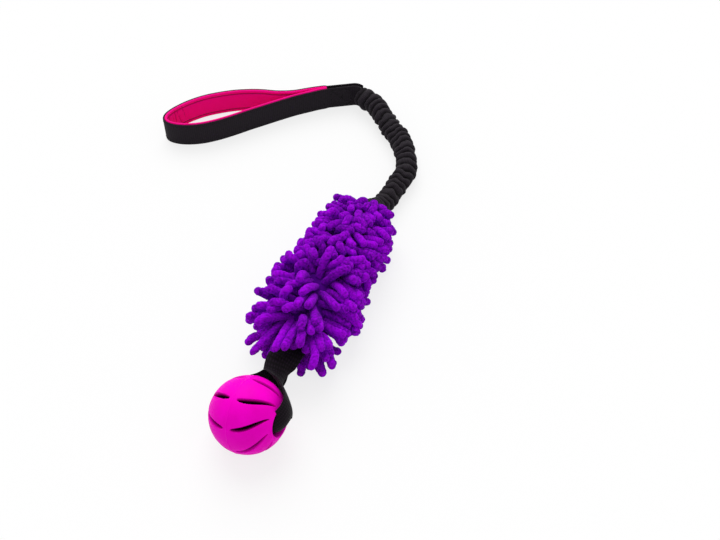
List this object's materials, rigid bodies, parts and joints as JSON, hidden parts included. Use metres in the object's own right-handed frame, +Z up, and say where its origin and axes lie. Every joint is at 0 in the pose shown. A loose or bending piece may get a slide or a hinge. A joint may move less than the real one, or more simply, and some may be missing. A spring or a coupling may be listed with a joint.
{
  "type": "bungee tug toy",
  "caption": "Dog tug toy lying relaxed: soft-lined hand loop on a ruched bungee, a mop of rolled fleece noodles, and a webbing strap through a swirl-grooved hollow rubber ball",
  "frame": {"origin": "on the floor under the middle of the toy as it lies, the bungee left out", "axes": "+Z is up from the floor, the mop lies along Y with the ball towards -Y, and the hand loop lies towards -X"},
  "size_m": [0.2778, 0.4275, 0.0694],
  "materials": {
    "black_webbing": "woven black polyester webbing, matt with a faint sheen",
    "pink_lining": "soft hot-pink pile fabric, matt",
    "purple_fleece": "brushed purple polyester fleece, matt and fuzzy",
    "magenta_rubber": "moulded magenta natural rubber, satin",
    "black_thread": "bonded black nylon thread",
    "grey_rubber": "uncoloured elastic rubber strands"
  },
  "bodies": {
    "mop": {"mop_fleece_1": "purple_fleece", "mop_fleece_2": "purple_fleece", "mop_fleece_3": "purple_fleece", "mop_fleece_4": "purple_fleece", "mop_fleece_5": "purple_fleece", "mop_fleece_6": "purple_fleece", "core_webbing": "black_webbing", "bungee_lower_tab": "black_webbing", "bungee_tab_stitching": "black_thread", "strap_tail_stitching": "black_thread"},
    "strap_loop": {"ball_strap": "black_webbing"},
    "ball": {"ball": "magenta_rubber"},
    "bungee_lower": {"cord_sheath": "black_webbing", "rubber_core": "grey_rubber"},
    "bungee_upper": {"bungee_sleeve": "black_webbing"},
    "handle": {"handle_band": "black_webbing", "handle_lining": "pink_lining", "bungee_upper_tab": "black_webbing", "box_stitching_near": "black_thread", "box_stitching_far": "black_thread"}
  },
  "joints": [
    {"name": "strap_swing", "type": "hinge", "parent": "mop", "child": "strap_loop", "pos_m": [0.0944, -0.0962, 0.025], "axis": [-1, 0, 0], "range_deg": [-60, 60], "deforming": ["ball_strap"]},
    {"name": "ball_spin", "type": "hinge", "parent": "strap_loop", "child": "ball", "pos_m": [0.0976, -0.1821, 0.03], "axis": [0.9781, 0, 0.2079], "continuous": true},
    {"name": "bungee_bend", "type": "hinge", "parent": "mop", "child": "bungee_lower", "pos_m": [0.0944, 0.0511, 0.025], "axis": [0, 0, 1], "range_deg": [-50, 30], "deforming": ["bungee_sleeve", "cord_sheath", "rubber_core"]},
    {"name": "bungee_stretch", "type": "slide", "parent": "bungee_lower", "child": "bungee_upper", "axis": [-0.4276, 0.904, 0], "range_m": [0, 0.15], "stiffness_N_per_m": 300, "deforming": ["bungee_sleeve", "cord_sheath", "rubber_core"]},
    {"name": "handle_swing", "type": "hinge", "parent": "bungee_upper", "child": "handle", "pos_m": [0.02, 0.2084, 0.013], "axis": [0, 0, 1], "range_deg": [-100, 30], "deforming": ["bungee_sleeve", "cord_sheath", "rubber_core"]}
  ]
}
